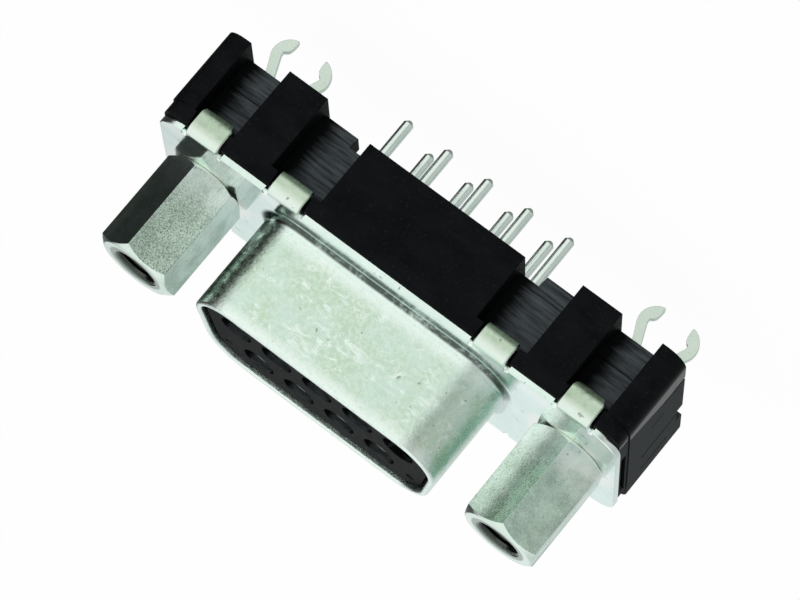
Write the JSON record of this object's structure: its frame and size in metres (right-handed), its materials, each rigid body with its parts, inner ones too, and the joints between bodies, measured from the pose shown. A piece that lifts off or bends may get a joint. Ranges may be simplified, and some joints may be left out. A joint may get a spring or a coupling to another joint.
{
  "type": "d-sub connector",
  "caption": "Straight D-subminiature socket connector for soldering into a board, with a drawn metal shell, hexagonal screwlocks and forked board locks.",
  "frame": {"origin": "centre of the contact field, midway between the two contact rows, on the face that sits on the board", "axes": "+X along the contact rows, +Y towards the wider row of five contacts, +Z out of the board in the mating direction"},
  "size_m": [0.0312, 0.0126, 0.0158],
  "materials": {
    "tin_shell": "bright tin plating over drawn steel",
    "black_plastic": "glass-filled moulding, fine grain",
    "tin_contact": "tin plating over copper alloy",
    "nickel_hex": "dull nickel plating over turned brass",
    "brass_insert": "turned",
    "tin_spring": "tin plating over spring bronze strip"
  },
  "bodies": {
    "root": {"front_shell": "tin_shell", "front_insulator": "black_plastic", "rear_housing": "black_plastic", "contact_1": "tin_contact", "contact_2": "tin_contact", "contact_3": "tin_contact", "contact_4": "tin_contact", "contact_5": "tin_contact", "contact_6": "tin_contact", "contact_7": "tin_contact", "contact_8": "tin_contact", "contact_9": "tin_contact", "screwlock_left": "nickel_hex", "screwlock_right": "nickel_hex", "threaded_insert_left": "brass_insert", "threaded_insert_right": "brass_insert", "boardlock_left": "tin_spring", "boardlock_right": "tin_spring"}
  },
  "joints": []
}
